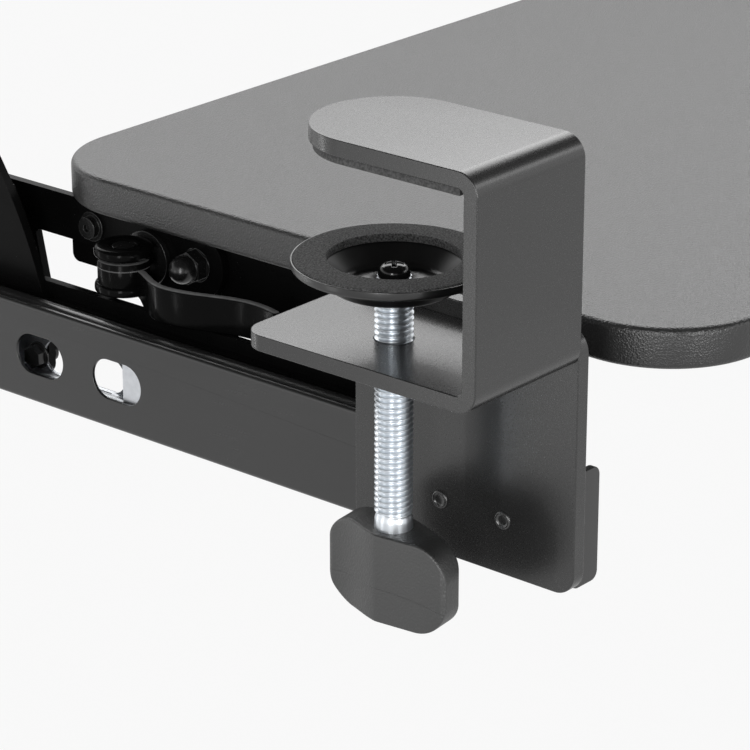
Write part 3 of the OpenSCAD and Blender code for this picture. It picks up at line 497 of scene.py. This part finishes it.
def quarter(tip):
    """How far a quarter circle of radius 1 has dropped at tip, from 0 at its top to 1 at its side."""
    return 1 - np.sqrt(1 - tip ** 2 * 0.9999)


def bar_section(half_wide, half_high, r, steps):
    """Points round a bar's section, for columns of half sizes: a rectangle with a quarter circle of radius r
    at each corner. Gives how far each point lies across and up from the middle."""
    corner = np.repeat(np.arange(4), steps)[None, :]
    swing = np.radians(corner * 90 + np.tile(np.linspace(0, 90, steps), 4)[None, :])
    east, north = np.array([1, -1, -1, 1])[corner], np.array([1, 1, -1, -1])[corner]
    return east * (half_wide - r) + r * np.cos(swing), north * (half_high - r) + r * np.sin(swing)


def knob_points(sign):
    """The knob as sections across its length: the plan gives each section's front and back, the elevation
    its top and foot, and the whole is turned a little about the rod."""
    s = np.linspace(-1, 1, 121)[:, None]
    y = KNOB_HALF * np.sign(s) * (1 - (1 - np.abs(s)) ** 1.8)

    def flat_face(y):
        """x of the flat side of a half, with its end corner rounded off."""
        tip = np.clip((y - (KNOB_HALF - FLAT_TIP)) / FLAT_TIP, 0, 1)
        return -KNOB_MID / 2 + TIP_STEP * quarter(tip)

    def swept_face(y):
        """x of the other side: in from the middle to the lobe along a quarter sine, its end rounded off."""
        along = np.clip((y - KNOB_BEND + 1.5) / (KNOB_HALF - 0.5 - KNOB_BEND), 0, 1) ** 1.3
        tip = np.clip((y - (KNOB_HALF - SWEPT_TIP)) / SWEPT_TIP, 0, 1)
        sweep = KNOB_MID / 2 - (KNOB_MID - KNOB_LOBE) * np.sin(along * math.pi / 2)
        return sweep - SWEPT_TIP * quarter(tip)

    low_x = np.where(y < 0, flat_face(-y), -swept_face(y))
    high_x = np.where(y < 0, swept_face(-y), -flat_face(y))
    tip = np.clip((np.abs(y) - (KNOB_HALF - KNOB_CORNER_W)) / KNOB_CORNER_W, 0, 1)
    half_x, half_z = (high_x - low_x) / 2, (KNOB_TOP - KNOB_FOOT) / 2 - KNOB_CORNER_H * quarter(tip)
    edge = np.minimum(KNOB_EDGE, 0.8 * np.minimum(half_x, half_z))
    across, up = bar_section(half_x, half_z, edge, 10)
    x = (low_x + high_x) / 2 + across
    along = y + 0 * x
    return np.stack([
        sign * SCREW_X + x * math.cos(KNOB_TURN) - along * math.sin(KNOB_TURN),
        SCREW_Y + x * math.sin(KNOB_TURN) + along * math.cos(KNOB_TURN),
        (KNOB_TOP + KNOB_FOOT) / 2 + up], -1)


for side, sign in SIDES:
    knob = skin(f"{side}_grip", knob_points(sign), knob_plastic)
    stand_in(knob, f"{side}_knob")


# The slides: rolled steel outer members with stamped slots, inner members, ball cages, balls and end caps.
# The outer member is coated black; the inner one, the cage and the balls are bare zinc and steel. The cap
# is moulded.

ROLLED_EDGE, ROLLED_FOLD = 0.22, 50

black_rail = Finish("black_rail", Roughness=0.24, IOR=1.7)
roll = black_rail.noise(1.6, 2.0, (1, 0.04, 1))
film = black_rail.noise(30.0, 2.0)
black_rail.vary(
    Base_Color=black_rail.mix(film, grey(0.012), grey(0.016)),
    Roughness=0.19 + 0.08 * roll + 0.05 * film)
black_rail.relief(roll, 0.012)

ball_steel = Finish("ball_steel", Metallic=1.0, Roughness=0.1)
grease = ball_steel.noise(1.5, 2.0)
ball_steel.vary(
    Base_Color=ball_steel.mix(grease, (0.50, 0.50, 0.52, 1), (0.72, 0.72, 0.74, 1)),
    Roughness=0.07 + 0.12 * grease)

cap_plastic = Finish("cap_plastic", Roughness=0.45, IOR=1.76)
flow = cap_plastic.noise(0.4, 2.0)
cap_plastic.vary(Base_Color=cap_plastic.mix(flow, grey(0.018), grey(0.026)), Roughness=0.38 + 0.12 * flow)
cap_plastic.relief(flow, 0.04)

for side, _ in SIDES:
    eased(f"{side}_outer_rail", ROLLED_EDGE, black_rail, ROLLED_FOLD)
    eased(f"{side}_inner_rail", ROLLED_EDGE, zinc_sheet, ROLLED_FOLD)
    eased(f"{side}_rail_cap", 0.5, cap_plastic)
    frame["nodes"][f"{side}_ball_cage"].material_slots[0].material = zinc_sheet.material
    frame["nodes"][f"{side}_balls"].material_slots[0].material = ball_steel.material


# The carriage: runner bracket, arm foot, arm and the board's bracket, cut from 2.5 and 3 mm steel plate and
# dipped in a coat that is darker and smoother than the clamps'. They bolt to the inner member and to each
# other.

bracket_coat = Finish("bracket_coat", Roughness=0.3, IOR=1.16)
dip = bracket_coat.noise(18.0, 3.0)
orange = bracket_coat.noise(1.2, 2.0)
bracket_coat.vary(
    Base_Color=bracket_coat.mix(dip, grey(0.002), grey(0.005)),
    Roughness=0.22 + 0.12 * dip)
bracket_coat.relief(orange, 0.015)

for side, _ in SIDES:
    for node in ("runner_bracket", "arm_foot", "arm", "tray_bracket"):
        eased(f"{side}_{node}", 0.3, bracket_coat, held=True)


# The carriage's fasteners: spacers, bolts, nuts, washers and screws in blackened steel, turned and cold
# headed. Handling has rubbed them a little lighter in places.

black_fastener = Finish("black_fastener", Roughness=0.24, IOR=1.5)
rub = black_fastener.noise(0.9, 3.0)
black_fastener.vary(
    Base_Color=black_fastener.mix(rub, grey(0.006), grey(0.014)),
    Roughness=0.18 + 0.14 * rub)

for side, _ in SIDES:
    for node in ("arm_spacers", "arm_bolts", "pivot_bolt", "cap_nut", "cam_washer", "cam_bolt", "stop_screw",
                 "runner_screws"):
        eased(f"{side}_{node}", 0.25, black_fastener)
eased("tray_screws", 0.2, black_fastener)


# The cam levers: cast, with a semi-gloss black coat, and a painted highlight along the upper rims: a thin
# grey line put into the coat's colour. A forked head turns on the cam bolt's barrel, and a long wavy blade
# runs forward from it beside the rail.

# The ears are round about the barrel and reach furthest out and back, and the blade's foot is the lowest.
EAR_R = 10.0
lever_low, lever_high = box_mm("right_cam_lever")
BARREL_X, CAM_Y = lever_high[:2] - EAR_R
BLADE_START, BLADE_LENGTH, BLADE_THICK, BLADE_TIP = 0.075, 70.0, 3.0, 1.5
BLADE_IN, BLADE_SWING = 19.8, 4.0
BLADE_TOP, BLADE_LOW = -84.5, lever_low[2]
UPPER_EAR, LOWER_EAR, EAR_TOP = -81.2, -93.6, -82.05
BAND_START, CORE_START, WRAP_END = 150, 216, 294

lever_paint = Finish("lever_paint", Roughness=0.18, IOR=1.15)
cast = lever_paint.noise(2.5, 2.0)
rim_z = lever_paint.along("Z")


def painted_highlight_rim(top):
    """Where the painted highlight goes: 1 over the half millimetre under a rim's top height, 0 elsewhere."""
    below = rim_z - top
    return (below + 0.45).ramp(0.0, 0.3) * (1 - below.ramp(0.0, 0.1))


# A painted highlight, not wear: a light grey line along the blade's top rim and the band's top rim, in place
# of the light that these rounded edges catch.
rim_highlight_paint = painted_highlight_rim(BLADE_TOP) + painted_highlight_rim(EAR_TOP)
lever_paint.vary(
    Base_Color=lever_paint.mix(rim_highlight_paint * (0.4 + 0.6 * cast), grey(0.003), grey(0.2)),
    Roughness=0.12 + 0.1 * cast)
lever_paint.relief(cast, 0.04)

ear_profile = rounded_path([
    (4.1, 1.8, 0), (4.1, 3.0, 0.4), (5.0, 3.6, 0.5), (EAR_R, 3.6, 2.4), (EAR_R, 0.0, 1.1), (4.1, 0.0, 0.3),
    (4.1, 1.8, 0)])


def blade_line(s):
    """The blade's middle in plan, from the barrel (0) to the tip (1), as its distance in from the side
    plate and its y: a cosine that is furthest in at the head, out at 0.37 of the length, in again at 0.84,
    and part of the way out at the tip."""
    phase = np.interp(s, [0.04, 0.37, 0.84, 1.04], [0.0, 0.5, 1.0, 1.2])
    return np.stack([BLADE_IN + BLADE_SWING * np.cos(2 * math.pi * phase), CAM_Y - s * BLADE_LENGTH], -1)


def blade_points(sign):
    """A rounded bar section carried along the blade's line, shallow at the head and deep in front of it,
    closed by a round tip."""
    s = np.concatenate([np.linspace(BLADE_START, 1.0, 90), np.full(6, 1.0)])
    past = np.concatenate([np.zeros(90), BLADE_TIP * np.sin(np.linspace(0.2, 1, 6) * math.pi / 2)])
    ahead = blade_line(np.minimum(s + 0.01, 1.0)) - blade_line(np.minimum(s + 0.01, 1.0) - 0.02)
    ahead /= np.linalg.norm(ahead, axis=1)[:, None]
    line = blade_line(s) + ahead * past[:, None]
    beside = np.stack([ahead[:, 1], -ahead[:, 0]], -1)
    half_thick = BLADE_THICK / 2 * np.sqrt(np.clip(1 - (past / (BLADE_TIP + 0.05)) ** 2, 0.02, 1))
    y = line[:, 1]
    low = np.interp(y, CAM_Y - np.array([20, 15, 11, 6]), [BLADE_LOW, -96.2, -94.4, LOWER_EAR])
    to_tip = np.clip((y - (CAM_Y - BLADE_LENGTH - BLADE_TIP)) / 3.0, 0, 1)
    trim = 3.0 * (1 - np.sqrt(1 - (1 - to_tip) ** 2 * 0.999))
    low, top = low + trim, BLADE_TOP - trim
    edge = np.minimum(1.0, half_thick * 0.9)[:, None]
    across, up = bar_section(half_thick[:, None], (top - low)[:, None] / 2, edge, 7)
    flat = line[:, None, :] + beside[:, None, :] * across[..., None]
    return np.stack([sign * (PLATE_X - flat[..., 0]), flat[..., 1], (low + top)[:, None] / 2 + up], -1)


# The band and the core fill the fork behind the barrel: (radius, height) sections carried round part of a
# turn.
band = np.array([
    (4.1, -82.1), (8.2, -82.1), (8.9, -82.2), (9.2, -82.6), (9.2, -90.2), (8.9, -91.2), (4.1, -91.2)])
core = np.array([(4.1, -80.0), (8.0, -80.0), (8.0, -91.2), (4.1, -91.2)])
for side, sign in SIDES:
    pieces = [skin(f"{side}_lever_blade", blade_points(sign), lever_paint)]
    for place, low in (("upper", UPPER_EAR), ("lower", LOWER_EAR)):
        centre = (sign * BARREL_X, CAM_Y, low)
        pieces.append(turned(f"{side}_lever_{place}_ear", ear_profile, centre, lever_paint, "Z", 72))
    for place, (r, z), start in (("band", band.T, BAND_START), ("core", core.T, CORE_START)):
        turn = np.radians(np.linspace(start, WRAP_END, 40))[:, None]
        pieces.append(skin(f"{side}_lever_{place}", np.stack([
            sign * (BARREL_X - r * np.cos(turn)), CAM_Y + r * np.sin(turn), z + 0 * turn], -1), lever_paint))
    for piece in pieces:
        stand_in(piece, f"{side}_cam_lever")


# The studio: a pale floor well below the tray and a pale surround that the metal mirrors, dark overhead. A
# long bank behind and above grazes the top faces, and a weak one at the right fills the front. Upright
# strips in front and to the left draw the lines on the coated sides, two low ones those on the lever.

FLOOR_Z, FLOOR_REACH = -420.0, 6000

paper = Finish("floor_paper", Roughness=0.9)
fibre = paper.noise(3.0, 2.0)
paper.vary(Base_Color=paper.mix(fibre, grey(0.90), grey(0.92)))
edge = np.linspace(-FLOOR_REACH, FLOOR_REACH, 3)
floor_points = np.stack([*np.meshgrid(edge, edge, indexing="ij"), np.full((3, 3), FLOOR_Z)], -1)
floor = skin("floor", floor_points, paper, round_v=False)
shown = paper.node("ShaderNodeEmission", {}, grey(0.99))
seen = paper.node("ShaderNodeLightPath", {"output": "Is Camera Ray"})
mirrored = paper.node("ShaderNodeLightPath", {"output": "Is Glossy Ray"})
lit = Reading(paper, paper.shader.outputs[0])
surface = paper.node("ShaderNodeMixShader", {}, seen * 0.95 + mirrored * 0.76, lit, shown)
paper.tree.links.new(surface.socket, paper.tree.nodes["Material Output"].inputs["Surface"])

world = bpy.data.worlds.new("studio")
bpy.context.scene.world = world
world.use_nodes = True
sky = Nodes(world.node_tree)
toward_sky = sky.node("ShaderNodeTexCoord", {"output": "Generated"})
up = sky.node("ShaderNodeSeparateXYZ", {"output": "Z"}, toward_sky)
overhead = sky.node("ShaderNodeMapRange", {}, up, 0.38, 0.56, 1.0, 0.03)
glossy = sky.node("ShaderNodeLightPath", {"output": "Is Glossy Ray"})
diffuse = sky.node("ShaderNodeLightPath", {"output": "Is Diffuse Ray"})
direct = sky.node("ShaderNodeLightPath", {"output": "Is Camera Ray"})
strength = sky.node("ShaderNodeMath", {"operation": "MAXIMUM"}, direct, diffuse * 0.45 + glossy * overhead)
background = world.node_tree.nodes["Background"]
background.inputs["Color"].default_value = grey(0.956)
world.node_tree.links.new(strength.socket, background.inputs["Strength"])


def softbox(name, at, aim, width, height, power):
    """A rectangular lamp at a point in metres that faces another point."""
    lamp = bpy.data.lights.new(name, "AREA")
    lamp.shape = "RECTANGLE"
    lamp.size, lamp.size_y, lamp.energy = width, height, power
    holder = bpy.data.objects.new(name, lamp)
    bpy.context.scene.collection.objects.link(holder)
    toward = np.subtract(aim, at) / np.linalg.norm(np.subtract(aim, at))
    holder.location = at
    holder.rotation_euler = (math.acos(-toward[2]), 0, math.atan2(toward[1], toward[0]) - math.pi / 2)


tray_middle = (-0.3, 0.1, -0.05)
by_the_lever = (-0.38, 0.17, -0.15)
softbox("back_bank", (0.75, 1.15, 1.0), tray_middle, 2.2, 0.75, 17.5)
softbox("front_bank", (-1.0, -2.2, 0.4), tray_middle, 0.5, 1.6, 22)
softbox("left_bank", (-2.3, -0.8, 0.4), tray_middle, 0.4, 1.6, 18)
softbox("right_bank", (0.75, -1.2, 0.75), tray_middle, 1.2, 0.3, 2)
softbox("low_strip_1", (-1.075, 0.45, -0.15), by_the_lever, 0.03, 0.5, 0.35)
softbox("low_strip_2", (-0.642, 0.82, -0.15), by_the_lever, 0.03, 0.5, 0.35)

camera_data = bpy.data.cameras.new("camera")
camera_data.sensor_width = 36.0
camera_data.lens = 158.4
camera_data.clip_end = 50.0
camera = bpy.data.objects.new("camera", camera_data)
bpy.context.scene.collection.objects.link(camera)
camera.location = (-1.06625, -0.52857, 0.28367)
camera.rotation_euler = (math.radians(68.41), 0.0, math.radians(-49.73))
bpy.context.scene.camera = camera
bpy.context.scene.view_settings.view_transform = "Standard"
